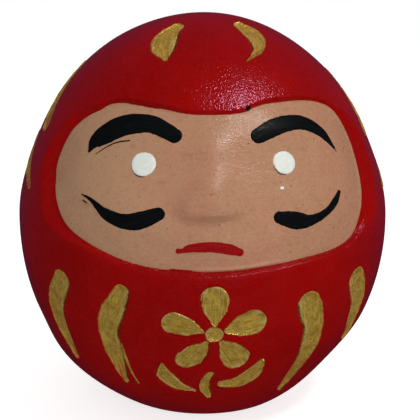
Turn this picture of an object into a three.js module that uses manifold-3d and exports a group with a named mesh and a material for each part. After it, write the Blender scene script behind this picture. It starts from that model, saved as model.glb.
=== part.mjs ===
// A daruma: a hollow, weighted, egg-shaped doll with a recessed face and brushed gold strokes.
// Millimetres, +Z up, the face looks along -Y, left and right are the viewer's.
// The origin is the centre of the round foot, on the surface that the doll stands on.
//
// A place on the body is [longitude, latitude] in degrees: longitude runs from the middle of the
// front towards +X, and latitude from the widest level towards the crown. An inset is a depth
// below the body's outer surface.

import * as THREE from "three";
import { mergeVertices } from "three/addons/utils/BufferGeometryUtils.js";
import Module from "manifold-3d";

const wasm = await Module();
wasm.setup();

// ---- Driving dimensions ----

const HALF_WIDTH = 52; // horizontal half-axis of the egg
const HALF_HEIGHT = 57.3; // vertical half-axis of the egg
const CENTRE_Z = 52; // its centre, above the floor
const CROWN_PINCH = 0.026; // share by which the upper half is slimmer than a true ellipsoid
const PINCH_FROM = 0.05; // sines of the latitudes between which it sets in
const PINCH_TO = 0.45;
const BELLY_SHIFT = -1.3; // the hand-moulded belly bulges this far to the left
const BELLY_TOP = 28; // and only below this height

const GAP = 0.3; // clearance between pieces that are glued or painted together
const WALL = 3.2; // moulded shell
const PAD_HEIGHT = 0.8;
const PAD_RADIUS = 19.6;
const RIM_Z = PAD_HEIGHT + GAP; // underside of the shells and of the weight

const FACE_FLOOR = 3.5; // inset of the recess that holds the face
const FACE_SKIN = 1.2; // inset of the finished face
const BACKING = 2.4; // wall behind the recess
const FACE_MARGIN = 2.5; // how far that thickened wall runs past the face's edge
const HOOD_Z = 77; // the rolled hood over the brows starts at this height
const HOOD = { width: 6, rise: 0.4 };
const NOSE = { latitude: 13.5, centreInset: 2.7, halfSize: [8, 3.7, 7.5] };

const MARK_TOP = 0.9; // insets of the painted marks on the face
const MARK_BOTTOM = 1.8;
const GOLD_TOP = 0.35; // insets of the gold strokes in the robe
const GOLD_BOTTOM = 0.9;

const WEIGHT_TOP = 14;
const WEIGHT_DISH = { radius: 24, depth: 2.2, innerShare: 0.6, innerDepth: 0.75 };
const FILLET_HEIGHT = 2.5;
const FILLET_WIDTH = 3;
const BAND_THICKNESS = 0.8;
const BAND_HALF_WIDTH = 7;

const REACH = 80; // cutting solids run this far, past the body on every side
const PLUG_REACH = 8; // a plug passes this far in and out through the body's surface

// ---- Resolution ----

const AROUND = 32; // facets round the body
const ROWS = 20; // rows from pole to pole
const STROKE_STEPS = 6;
const CAP_STEPS = 3;
const EYE_STEPS = 14;
const FACE_STEPS = 44;
const NOSE_STEPS = { around: 14, up: 10 };
const MERGE = 1e-4; // millimetres between points that are one point

// ---- Colours ----

const RED = { color: 0x8b1209, roughness: 0.25, metalness: 0 };
const PULP = { color: 0xb9a98c, roughness: 0.9, metalness: 0 };
const CLAY = { color: 0x8c6f56, roughness: 0.95, metalness: 0 };
const FELT = { color: 0x2b2624, roughness: 1, metalness: 0 };
const SKIN = { color: 0xae8064, roughness: 0.5, metalness: 0 };
const WHITE = { color: 0xdcdcd3, roughness: 0.45, metalness: 0 };
const BLACK = { color: 0x0c0e0e, roughness: 0.3, metalness: 0 };
const LIP_RED = { color: 0x7f0507, roughness: 0.35, metalness: 0 };
const GOLD = { color: 0xa07a36, roughness: 0.45, metalness: 0.7 };

// ---- The face's edge, anticlockwise from the top, seen from the front ----

const FACE_EDGE = [
  [0, 36.1], [-9, 36.5], [-19, 38.1], [-30, 39.2], [-38.5, 38.6], [-43, 36.4], [-49.7, 33.3],
  [-55.2, 28], [-56.9, 21.5], [-54.6, 14.8], [-47.5, 6.6], [-37, 2], [-23.5, -1.7],
  [-10, -3.2], [3, -3.3], [12, -2.7], [24, -1.6], [41.5, 0.3], [50.4, 6], [55.2, 13.8],
  [57.4, 22], [57, 28], [53.4, 35.2], [44.9, 38.6], [33, 39.5], [22, 39.2], [15.4, 38],
  [12.2, 36.9], [7, 36.3],
];

// ---- Painted marks: a path of places, and the half-width of the brush at each ----

const FACE_MARKS = {
  brow_left: {
    paint: BLACK,
    path: [[-41.5, 25], [-40.2, 27.7], [-35.6, 30.3], [-28.5, 32.8], [-20, 33.1], [-12.2, 30.2]],
    halfWidths: [1.0, 2.5, 3.0, 2.95, 2.45, 1.9],
  },
  brow_right: {
    paint: BLACK,
    path: [[14.8, 29.9], [20.8, 31.9], [28.5, 33], [35, 32], [40.5, 28.9], [44.3, 24.9]],
    halfWidths: [1.95, 2.3, 2.25, 1.95, 1.4, 0.35],
  },
  whisker_left: {
    paint: BLACK,
    path: [[-40.6, 13.9], [-36, 12.6], [-31, 9.9], [-25, 8.5], [-20, 9.2], [-15.4, 10.8]],
    halfWidths: [0.15, 0.55, 1.4, 1.85, 2.15, 1.6],
  },
  whisker_right: {
    paint: BLACK,
    path: [[18.2, 9.4], [23, 8.4], [27.8, 7.9], [33, 9], [37.8, 11.3], [40.9, 13.6]],
    halfWidths: [1.5, 2.2, 1.45, 1.0, 1.0, 0.6],
  },
  mouth: {
    paint: LIP_RED,
    path: [[-10.1, 2.1], [-8.2, 2.2], [-6, 2.9], [-1.3, 3.1], [3.5, 2.5], [6.7, 1.6]],
    halfWidths: [0.5, 0.55, 1.15, 1.25, 1.35, 1.0],
  },
};
const EYES = {
  eye_left: { place: [-21.4, 22.8], radius: 3.05 },
  eye_right: { place: [22.5, 22.8], radius: 2.95 },
};

// ---- Gold strokes in the robe ----

const GOLD_STROKES = {
  crown_stroke_left: {
    path: [[-25, 70], [-27.2, 66.5], [-27.6, 62], [-25, 57.5], [-21.8, 53.7]],
    halfWidths: [1.6, 2.4, 3.4, 3.05, 0.9],
  },
  crown_stroke_right: {
    path: [[33.5, 71.5], [35.3, 68.3], [35.2, 64.5], [31.8, 60], [27, 56.5], [18.1, 52.7]],
    halfWidths: [1.5, 2.7, 2.9, 2.1, 1.2, 0.3],
  },
  side_stroke_upper_left: {
    path: [[-85.5, 50], [-83.5, 43], [-79.5, 36.5], [-74, 29.5]],
    halfWidths: [0.5, 1.7, 2.8, 2.3],
  },
  side_stroke_upper_right: {
    path: [[85, 47], [83, 40], [79.5, 33.5], [76, 27]],
    halfWidths: [0.6, 2.2, 2.9, 2.3],
  },
  side_stroke_lower_left: {
    path: [[-86, 25.5], [-84.5, 22], [-79, 17.3], [-68.5, 12.3]],
    halfWidths: [1.0, 2.2, 1.9, 0.5],
  },
  side_stroke_lower_right: {
    path: [[86, 23.5], [84.5, 19.5], [82, 15], [77, 10.5]],
    halfWidths: [1.3, 2.2, 2.0, 0.5],
  },
  robe_stroke_outer_left: {
    path: [[-47.8, -9.1], [-50.6, -12.6], [-53.5, -16.4], [-54.8, -21], [-54.8, -27], [-53.2, -35.2]],
    halfWidths: [2.8, 3.1, 3.0, 2.7, 2.05, 0.4],
  },
  robe_stroke_outer_right: {
    path: [[48.2, -10.3], [50.2, -12.8], [51.8, -15.4], [53, -18.6], [53.3, -22.6], [54.4, -30]],
    halfWidths: [3.3, 3.5, 3.3, 3.1, 2.5, 0.5],
  },
  robe_stroke_inner_left: {
    path: [[-26, -9], [-27.9, -12.2], [-30.7, -16.4], [-32.6, -21], [-32.5, -27.5], [-30.5, -39.5]],
    halfWidths: [2.0, 2.75, 3.1, 2.85, 2.5, 0.45],
  },
  robe_stroke_inner_right: {
    path: [[28.5, -13.4], [30.3, -16.8], [32.2, -20.6], [33, -25.5], [33.9, -31], [34.3, -47]],
    halfWidths: [3.3, 3.4, 3.1, 3.0, 2.5, 0.45],
  },
};

// ---- The blossom on the belly, laid out flat about its own centre ----

const BLOSSOM_LATITUDE = -20;
const PETALS = 5;
const PETAL = { from: 3.6, to: 10.2, halfWidths: [0.9, 2.9, 3.4] };
const BLOSSOM_CENTRE_RADIUS = 2;
const SPRIG = {
  motif_stem: { path: [[0, -14.4], [-0.8, -19], [0.6, -24.5]], halfWidths: [1.1, 1.3, 0.7] },
  motif_leaf_left: {
    path: [[-3.6, -21.5], [-7.5, -19.6], [-11.2, -15.2], [-12.6, -10.6]],
    halfWidths: [0.8, 2.1, 2.3, 0.5],
  },
  motif_leaf_right: {
    path: [[3.4, -18.4], [7.6, -18.2], [11.4, -14.6], [13, -9.8]],
    halfWidths: [0.8, 2.0, 2.3, 0.5],
  },
};

// ---- The body's surface ----

const { degToRad, radToDeg, smoothstep } = THREE.MathUtils;

function bellyShift(z) {
  const along = THREE.MathUtils.clamp(z / BELLY_TOP, 0, 1);
  return BELLY_SHIFT * Math.sin(Math.PI * along) ** 2;
}

function ringRadius(latitude, inset = 0) {
  const rise = Math.sin(degToRad(latitude));
  const pinch = 1 - CROWN_PINCH * smoothstep(rise, PINCH_FROM, PINCH_TO);
  return (HALF_WIDTH - inset) * Math.cos(degToRad(latitude)) * pinch;
}

function ringHeight(latitude, inset = 0) {
  return CENTRE_Z + (HALF_HEIGHT - inset) * Math.sin(degToRad(latitude));
}

function bodyPoint([longitude, latitude], inset = 0) {
  const r = ringRadius(latitude, inset);
  const z = ringHeight(latitude, inset);
  const turn = degToRad(longitude);
  return new THREE.Vector3(r * Math.sin(turn) + bellyShift(z), -r * Math.cos(turn), z);
}

// Steps of a flat millimetre layout, as steps in longitude and latitude at a place on the body.
function placeAfter([longitude, latitude], right, up) {
  const next = latitude + radToDeg(up / HALF_HEIGHT);
  return [longitude + radToDeg(right / ringRadius(next)), next];
}

// ---- Solids ----

function solidOf(geometry) {
  const bare = geometry.clone();
  bare.deleteAttribute("normal");
  bare.deleteAttribute("uv");
  const merged = mergeVertices(bare, MERGE);
  return new wasm.Manifold(
    new wasm.Mesh({
      numProp: 3,
      vertProperties: merged.attributes.position.array,
      triVerts: new Uint32Array(merged.index.array),
    }),
  );
}

function geometryOf(solid) {
  const mesh = solid.getMesh();
  const geometry = new THREE.BufferGeometry();
  geometry.setAttribute("position", new THREE.BufferAttribute(mesh.vertProperties, 3));
  geometry.setIndex(new THREE.BufferAttribute(mesh.triVerts, 1));
  return geometry;
}

function movePoints(geometry, move) {
  const position = geometry.attributes.position;
  const point = new THREE.Vector3();
  for (let i = 0; i < position.count; i++) {
    point.fromBufferAttribute(position, i);
    const moved = move(point);
    position.setXYZ(i, moved.x, moved.y, moved.z);
  }
  return geometry;
}

function makeEgg(inset) {
  const profile = [];
  for (let row = 0; row <= ROWS; row++) {
    const latitude = -90 + (180 * row) / ROWS;
    const onAxis = row === 0 || row === ROWS;
    profile.push(
      new THREE.Vector2(onAxis ? 0 : ringRadius(latitude, inset), ringHeight(latitude, inset)),
    );
  }
  const egg = new THREE.LatheGeometry(profile, AROUND).rotateX(Math.PI / 2);
  return solidOf(movePoints(egg, (p) => p.setX(p.x + bellyShift(p.z))));
}

// The whole egg, with its surface at a given inset; each is made once.
const eggs = new Map();
function eggSolid(inset) {
  if (!eggs.has(inset)) eggs.set(inset, makeEgg(inset));
  return eggs.get(inset);
}

function boxSolid(low, high) {
  const size = high.map((value, i) => value - low[i]);
  const box = new THREE.BoxGeometry(...size);
  return solidOf(box.translate(...low.map((value, i) => value + size[i] / 2)));
}

function slice(solid, fromZ, toZ) {
  return solid.intersect(boxSolid([-REACH, -REACH, fromZ], [REACH, REACH, toZ]));
}

// A plug through the body's surface, with an outline of places for its section.
function plugSolid(outline) {
  const shape = new THREE.Shape(outline.map(([x, y]) => new THREE.Vector2(x, y)));
  const plug = new THREE.ExtrudeGeometry(shape, { depth: 1, bevelEnabled: false });
  const lay = (p) => bodyPoint([p.x, p.y], PLUG_REACH * (1 - 2 * p.z));
  return solidOf(movePoints(plug, lay));
}

// The part of a solid that lies between two insets.
function layer(solid, topInset, bottomInset) {
  return solid.intersect(eggSolid(topInset)).subtract(eggSolid(bottomInset));
}

// The outline of a brush stroke with round ends, anticlockwise, widened by `grow` millimetres.
function strokeOutline({ path, halfWidths }, grow = 0) {
  const curve = new THREE.SplineCurve(path.map(([x, y]) => new THREE.Vector2(x, y)));
  const widths = new THREE.SplineCurve(halfWidths.map((w, i) => new THREE.Vector2(i, w)));
  const at = (t, turn) => {
    const centre = curve.getPoint(t);
    const along = curve.getTangent(t);
    const forward = Math.atan2(along.y * HALF_HEIGHT, along.x * ringRadius(centre.y));
    const radius = widths.getPoint(t).y + grow;
    const angle = forward + turn;
    return placeAfter([centre.x, centre.y], radius * Math.cos(angle), radius * Math.sin(angle));
  };
  const outline = [];
  for (let i = 0; i <= STROKE_STEPS; i++) outline.push(at(i / STROKE_STEPS, -Math.PI / 2));
  for (let i = 1; i < CAP_STEPS; i++) outline.push(at(1, -Math.PI / 2 + (Math.PI * i) / CAP_STEPS));
  for (let i = STROKE_STEPS; i >= 0; i--) outline.push(at(i / STROKE_STEPS, Math.PI / 2));
  for (let i = 1; i < CAP_STEPS; i++) outline.push(at(0, Math.PI / 2 + (Math.PI * i) / CAP_STEPS));
  return outline;
}

function discOutline({ place, radius }, grow = 0) {
  const circle = new THREE.EllipseCurve(0, 0, radius + grow, radius + grow);
  const points = circle.getPoints(EYE_STEPS).slice(0, -1);
  return points.map((p) => placeAfter(place, p.x, p.y));
}

// ---- The face: an upright outline pushed straight back into the egg ----

function facePrism(grow) {
  const ring = FACE_EDGE.map((place) => bodyPoint(place, FACE_SKIN));
  const edge = new THREE.CatmullRomCurve3(ring.map((p) => new THREE.Vector3(p.x, p.z, 0)), true);
  const outline = [];
  for (let i = 0; i < FACE_STEPS; i++) {
    const point = edge.getPointAt(i / FACE_STEPS);
    const along = edge.getTangentAt(i / FACE_STEPS);
    outline.push(new THREE.Vector2(point.x + along.y * grow, point.y - along.x * grow));
  }
  const prism = new THREE.ExtrudeGeometry(new THREE.Shape(outline), {
    depth: REACH,
    bevelEnabled: false,
  });
  return solidOf(prism.rotateX(Math.PI / 2));
}

function noseSolid() {
  const centre = bodyPoint([0, NOSE.latitude], NOSE.centreInset);
  const nose = new THREE.SphereGeometry(1, NOSE_STEPS.around, NOSE_STEPS.up);
  return solidOf(nose.scale(...NOSE.halfSize).translate(centre.x, centre.y, centre.z));
}

// ---- The pieces ----

const marks = Object.entries(FACE_MARKS).map(([name, mark]) => ({
  name,
  paint: mark.paint,
  outline: (grow) => strokeOutline(mark, grow),
}));
for (const [name, eye] of Object.entries(EYES)) {
  marks.push({ name, paint: WHITE, outline: (grow) => discOutline(eye, grow) });
}

function flatToBody({ path, halfWidths }) {
  return { path: path.map(([x, y]) => placeAfter([0, BLOSSOM_LATITUDE], x, y)), halfWidths };
}

const strokes = Object.entries({
  ...GOLD_STROKES,
  ...Object.fromEntries(Object.entries(SPRIG).map(([name, mark]) => [name, flatToBody(mark)])),
}).map(([name, mark]) => ({ name, outline: (grow) => strokeOutline(mark, grow) }));

for (let i = 0; i < PETALS; i++) {
  const angle = Math.PI / 2 - (2 * Math.PI * i) / PETALS;
  const reaches = [PETAL.from, (PETAL.from + PETAL.to) / 2, PETAL.to];
  const path = reaches.map((reach) => [reach * Math.cos(angle), reach * Math.sin(angle)]);
  const petal = flatToBody({ path, halfWidths: PETAL.halfWidths });
  strokes.push({ name: `motif_petal_${i + 1}`, outline: (grow) => strokeOutline(petal, grow) });
}
const heart = { place: [0, BLOSSOM_LATITUDE], radius: BLOSSOM_CENTRE_RADIUS };
strokes.push({ name: "motif_centre", outline: (grow) => discOutline(heart, grow) });

function makeShells() {
  const cavity = eggSolid(WALL);
  let whole = slice(eggSolid(0).subtract(cavity), RIM_Z, 2 * REACH);
  whole = whole.add(layer(facePrism(FACE_MARGIN), WALL - GAP, FACE_FLOOR + BACKING));
  const overBrows = slice(facePrism(HOOD.width), HOOD_Z, 2 * REACH);
  whole = whole.add(layer(overBrows, -HOOD.rise, GAP));
  whole = whole.subtract(facePrism(GAP).subtract(eggSolid(FACE_FLOOR)));
  for (const { outline } of strokes) {
    whole = whole.subtract(plugSolid(outline(GAP)).subtract(eggSolid(GOLD_BOTTOM + GAP)));
  }
  const front = boxSolid([-REACH, -REACH, -REACH], [REACH, -GAP / 2, 2 * REACH]);
  const rear = boxSolid([-REACH, GAP / 2, -REACH], [REACH, REACH, 2 * REACH]);
  return { front_shell: whole.intersect(front), rear_shell: whole.intersect(rear) };
}

function makeFaceCoat() {
  let coat = facePrism(0).intersect(eggSolid(FACE_SKIN).add(noseSolid()));
  coat = coat.subtract(eggSolid(FACE_FLOOR - GAP));
  for (const { outline } of marks) {
    coat = coat.subtract(plugSolid(outline(GAP)).subtract(eggSolid(MARK_BOTTOM + GAP)));
  }
  return coat;
}

function makeSeamBand() {
  const inset = WALL + GAP;
  const from = WEIGHT_TOP + 2 * GAP + FILLET_HEIGHT;
  const lining = eggSolid(inset).subtract(eggSolid(inset + BAND_THICKNESS));
  const width = boxSolid([-REACH, -BAND_HALF_WIDTH, from], [REACH, BAND_HALF_WIDTH, 2 * REACH]);
  return lining.intersect(width);
}

function makeWeight() {
  const { radius, depth, innerShare, innerDepth } = WEIGHT_DISH;
  const profile = [
    new THREE.Vector2(0, WEIGHT_TOP - depth),
    new THREE.Vector2(radius * innerShare, WEIGHT_TOP - depth * innerDepth),
    new THREE.Vector2(radius, WEIGHT_TOP),
    new THREE.Vector2(radius, WEIGHT_TOP + depth),
    new THREE.Vector2(0, WEIGHT_TOP + depth),
  ];
  const dish = solidOf(new THREE.LatheGeometry(profile, AROUND).rotateX(Math.PI / 2));
  return slice(eggSolid(WALL + GAP), RIM_Z, WEIGHT_TOP).subtract(dish);
}

function makeFillet() {
  const inset = WALL + GAP;
  const from = WEIGHT_TOP + GAP;
  return slice(eggSolid(inset).subtract(eggSolid(inset + FILLET_WIDTH)), from, from + FILLET_HEIGHT);
}

function makePad() {
  const pad = new THREE.CylinderGeometry(PAD_RADIUS, PAD_RADIUS, PAD_HEIGHT, AROUND);
  return solidOf(pad.rotateX(Math.PI / 2).translate(0, 0, PAD_HEIGHT / 2));
}

// ---- The assembly ----

const daruma = new THREE.Group();

function place(name, solid, paint) {
  const mesh = new THREE.Mesh(geometryOf(solid), new THREE.MeshStandardMaterial(paint));
  mesh.name = name;
  daruma.add(mesh);
}

for (const [name, shell] of Object.entries(makeShells())) place(name, shell, RED);
place("face_coat", makeFaceCoat(), SKIN);
place("seam_band", makeSeamBand(), PULP);
place("base_weight", makeWeight(), CLAY);
place("weight_fillet", makeFillet(), PULP);
place("base_pad", makePad(), FELT);
for (const { name, paint, outline } of marks) {
  place(name, layer(plugSolid(outline(0)), MARK_TOP, MARK_BOTTOM), paint);
}
for (const { name, outline } of strokes) {
  place(name, layer(plugSolid(outline(0)), GOLD_TOP, GOLD_BOTTOM), GOLD);
}

export default daruma;
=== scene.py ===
"""Looks for the daruma doll: a lacquered, gesso-coated shell with a painted face and brushed gold.

Shapes are worked out in millimetres and become metres when a mesh is made. A place on the body is a
longitude and a latitude in degrees: longitude runs from the middle of the front towards +X, latitude
from the widest level towards the crown. An inset is a depth below the egg's own surface.
"""

import math

import bmesh
import bpy
import numpy as np
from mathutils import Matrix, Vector


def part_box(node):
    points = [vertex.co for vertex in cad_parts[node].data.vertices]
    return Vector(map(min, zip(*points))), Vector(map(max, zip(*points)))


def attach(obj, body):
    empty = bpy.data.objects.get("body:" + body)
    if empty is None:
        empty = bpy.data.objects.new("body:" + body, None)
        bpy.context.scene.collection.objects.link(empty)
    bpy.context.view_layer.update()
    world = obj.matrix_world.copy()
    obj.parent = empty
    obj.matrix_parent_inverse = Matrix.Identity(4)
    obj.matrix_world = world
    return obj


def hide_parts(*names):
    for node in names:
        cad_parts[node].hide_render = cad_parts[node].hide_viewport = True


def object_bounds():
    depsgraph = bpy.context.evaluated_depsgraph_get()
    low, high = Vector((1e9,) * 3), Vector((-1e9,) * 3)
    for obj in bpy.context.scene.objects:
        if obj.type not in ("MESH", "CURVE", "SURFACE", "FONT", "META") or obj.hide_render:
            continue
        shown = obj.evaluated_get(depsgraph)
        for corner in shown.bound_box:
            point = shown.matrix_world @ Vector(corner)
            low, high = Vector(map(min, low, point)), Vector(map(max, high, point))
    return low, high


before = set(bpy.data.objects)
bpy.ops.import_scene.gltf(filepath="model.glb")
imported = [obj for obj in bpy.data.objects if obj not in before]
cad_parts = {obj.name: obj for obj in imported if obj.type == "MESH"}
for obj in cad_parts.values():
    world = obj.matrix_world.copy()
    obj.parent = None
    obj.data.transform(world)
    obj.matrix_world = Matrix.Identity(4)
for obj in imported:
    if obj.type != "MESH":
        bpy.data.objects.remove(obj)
CAD_BOX = [list(corner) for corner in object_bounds()]

# ---- Driving dimensions, millimetres and degrees ----

MM = 0.001
HALF_WIDTH = (CAD_BOX[1][0] - CAD_BOX[0][0]) / 2 / MM
HALF_HEIGHT = 1.102 * HALF_WIDTH  # the egg's own half-axis, to below the foot
CENTRE_Z = CAD_BOX[1][2] / MM - HALF_HEIGHT
RIM_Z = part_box("front_shell")[0][2] / MM
CROWN_PINCH = 0.026  # share by which the upper half is slimmer than a true ellipsoid
PINCH_FROM, PINCH_TO = 0.05, 0.45  # sines of the latitudes between which it sets in
BELLY_SHIFT = -1.3  # the hand-moulded belly bulges this far to the left
BELLY_TOP = 28  # and only below this height

WALL = 3.2
FACE_FLOOR = 2.75  # inset of the recess that holds the face
BACKING = 2.4  # wall behind the recess
FACE_COAT_BOTTOM = 2.6  # inset of the underside of the skin
SKIN_LIFT = 0.08  # how far the finished skin stands over the inset that shapes the face
RIM_ROUNDING = 0.9

ARC = math.pi / 180

# ---- The face's edge, anticlockwise from the top, seen from the front ----

FACE_EDGE = [
    (0, 36.1), (-9, 36.5), (-19, 38.1), (-30, 39.2), (-38.5, 38.6), (-43, 36.4), (-49.7, 33.3),
    (-55.2, 28), (-56.9, 21.5), (-54.6, 14.8), (-47.5, 6.6), (-37, 2), (-23.5, -1.7),
    (-10, -3.2), (3, -3.3), (12, -2.7), (24, -1.6), (41.5, 0.3), (50.4, 6), (55.2, 13.8),
    (57.4, 22), (57, 28), (53.4, 35.2), (44.9, 38.6), (33, 39.5), (22, 39.2), (15.4, 38),
    (12.2, 36.9), (7, 36.3),
]
FACE_CENTRE = (0.5, 17.5)

# ---- Painted marks: a path of places, and the half-width of the brush at each ----

FACE_MARKS = {
    "brow_left": (
        [(-41.5, 25), (-40.2, 27.7), (-35.6, 30.3), (-28.5, 32.8), (-20, 33.1), (-12.2, 30.2)],
        [0.5, 2.2, 3.0, 2.95, 2.45, 1.9],
    ),
    "brow_right": (
        [(14.8, 29.9), (20.8, 31.9), (28.5, 33), (35, 32), (40.5, 28.9), (44.3, 24.9)],
        [1.95, 2.3, 2.25, 1.95, 1.4, 0.35],
    ),
    "whisker_left": (
        [(-40.6, 13.9), (-36, 12.6), (-31, 9.9), (-25, 8.5), (-20, 9.2), (-15.4, 10.8)],
        [0.15, 0.55, 1.4, 1.85, 2.15, 1.6],
    ),
    "whisker_right": (
        [(18.2, 9.4), (23, 8.4), (27.8, 7.9), (33, 9), (37.8, 11.3), (40.9, 13.6)],
        [1.5, 2.2, 1.45, 1.0, 1.0, 0.6],
    ),
    "mouth": (
        [(-9.9, 2), (-8.6, 2.1), (-6.2, 2.8), (-1.3, 3.1), (3.5, 2.5), (6.7, 1.6)],
        [0.65, 0.6, 1.1, 1.25, 1.35, 1.0],
    ),
}
EYES = {"eye_left": ((-21.4, 22.8), 3.05), "eye_right": ((22.5, 22.8), 2.95)}

GOLD_STROKES = {
    "crown_stroke_left": (
        [(-25, 70), (-27.2, 66.5), (-27.6, 62), (-25, 57.5), (-21.8, 53.7)],
        [1.6, 2.4, 3.4, 3.05, 0.9],
    ),
    "crown_stroke_right": (
        [(33.5, 71.5), (35.3, 68.3), (35.2, 64.5), (31.8, 60), (27, 56.5), (18.1, 52.7)],
        [1.5, 2.7, 2.9, 2.1, 1.2, 0.3],
    ),
    "side_stroke_upper_left": (
        [(-85.5, 50), (-83.5, 43), (-79.5, 36.5), (-74, 29.5)],
        [0.5, 1.7, 2.8, 2.3],
    ),
    "side_stroke_upper_right": (
        [(85, 47), (83, 40), (79.5, 33.5), (76, 27)],
        [0.6, 2.2, 2.9, 2.3],
    ),
    "side_stroke_lower_left": (
        [(-86, 25.5), (-84.5, 22), (-79, 17.3), (-68.5, 12.3)],
        [1.0, 2.2, 1.9, 0.5],
    ),
    "side_stroke_lower_right": (
        [(86, 23.5), (84.5, 19.5), (82, 15), (77, 10.5)],
        [1.3, 2.2, 2.0, 0.5],
    ),
    "robe_stroke_outer_left": (
        [(-47.8, -9.1), (-50.6, -12.6), (-53.5, -16.4), (-54.8, -21), (-54.8, -27), (-53.2, -35.2)],
        [2.8, 3.1, 3.0, 2.7, 2.05, 0.4],
    ),
    "robe_stroke_outer_right": (
        [(48.2, -10.3), (50.2, -12.8), (51.8, -15.4), (53, -18.6), (53.3, -22.6), (54.4, -30)],
        [3.3, 3.5, 3.3, 3.1, 2.5, 0.5],
    ),
    "robe_stroke_inner_left": (
        [(-26, -9), (-27.9, -12.2), (-30.7, -16.4), (-32.6, -21), (-32.5, -27.5), (-30.5, -39.5)],
        [2.0, 2.75, 3.1, 2.85, 2.5, 0.45],
    ),
    "robe_stroke_inner_right": (
        [(28.5, -13.4), (30.3, -16.8), (32.2, -20.6), (33, -25.5), (33.9, -31), (34.3, -47)],
        [3.3, 3.4, 3.1, 3.0, 2.5, 0.45],
    ),
}

# The blossom on the belly, laid out flat in millimetres about its own centre.
BLOSSOM_PLACE = (0, -20)
PETALS = 5
PETAL_REACHES = (3.6, 6.9, 10.2)
PETAL_HALF_WIDTHS = [0.9, 2.9, 3.4]
BLOSSOM_CENTRE_RADIUS = 2
SPRIG = {
    "motif_stem": ([(0, -14.4), (-0.8, -19), (0.6, -24.5)], [1.1, 1.3, 0.7]),
    "motif_leaf_left": (
        [(-3.6, -21.5), (-7.5, -19.6), (-11.2, -15.2), (-12.6, -10.6)],
        [0.8, 2.1, 2.3, 0.5],
    ),
    "motif_leaf_right": (
        [(3.4, -18.4), (7.6, -18.2), (11.4, -14.6), (13, -9.8)],
        [0.8, 2.0, 2.3, 0.5],
    ),
}

# ---- The egg ----


def smoothstep(value, low, high):
    t = np.clip((value - low) / (high - low), 0, 1)
    return t * t * (3 - 2 * t)


def belly_shift(z):
    return BELLY_SHIFT * np.sin(np.pi * np.clip(z / BELLY_TOP, 0, 1)) ** 2


def ring_radius(lat, inset=0.0):
    pinch = 1 - CROWN_PINCH * smoothstep(np.sin(lat * ARC), PINCH_FROM, PINCH_TO)
    return (HALF_WIDTH - inset) * np.cos(lat * ARC) * pinch


def body_points(lon, lat, inset):
    z = CENTRE_Z + (HALF_HEIGHT - inset) * np.sin(lat * ARC)
    radius = ring_radius(lat, inset)
    x = radius * np.sin(lon * ARC) + belly_shift(z)
    return np.stack([x, -radius * np.cos(lon * ARC), z], axis=-1)


def place_after(lon, lat, right, up):
    """The place reached from another by steps of so many millimetres along the surface."""
    next_lat = lat + up / HALF_HEIGHT / ARC
    return lon + right / ring_radius(next_lat) / ARC, next_lat


def waves(points, length, amount, seed):
    """Smooth unevenness: a few sine waves of about one wavelength in different directions."""
    source = np.random.default_rng(seed)
    total = np.zeros(points.shape[:-1])
    for _ in range(6):
        direction = source.normal(size=3)
        direction /= np.linalg.norm(direction)
        turns = 2 * np.pi / (length * source.uniform(0.7, 1.4))
        total += np.sin(points @ direction * turns + source.uniform(0, 2 * np.pi))
    return total * amount / 6 ** 0.5


# ---- Strokes ----


def spline(values, steps):
    """Points along a uniform Catmull-Rom curve, and its slope at each."""
    values = np.asarray(values, dtype=float)
    if values.ndim == 1:
        values = values[:, None]
    padded = np.vstack([values[:1], values, values[-1:]])
    t = np.linspace(0, len(values) - 1, steps)
    start = np.minimum(t.astype(int), len(values) - 2)
    w = (t - start)[:, None]
    p0, p1, p2, p3 = (padded[start + i] for i in range(4))
    v0, v1 = (p2 - p0) / 2, (p3 - p1) / 2
    a, b = 2 * p1 - 2 * p2 + v0 + v1, -3 * p1 + 3 * p2 - 2 * v0 - v1
    return ((a * w + b) * w + v0) * w + p1, (3 * a * w + 2 * b) * w + v0


GOLD_RAGGED = 0.11  # unevenness of a gold mark's edge, in millimetres


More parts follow.
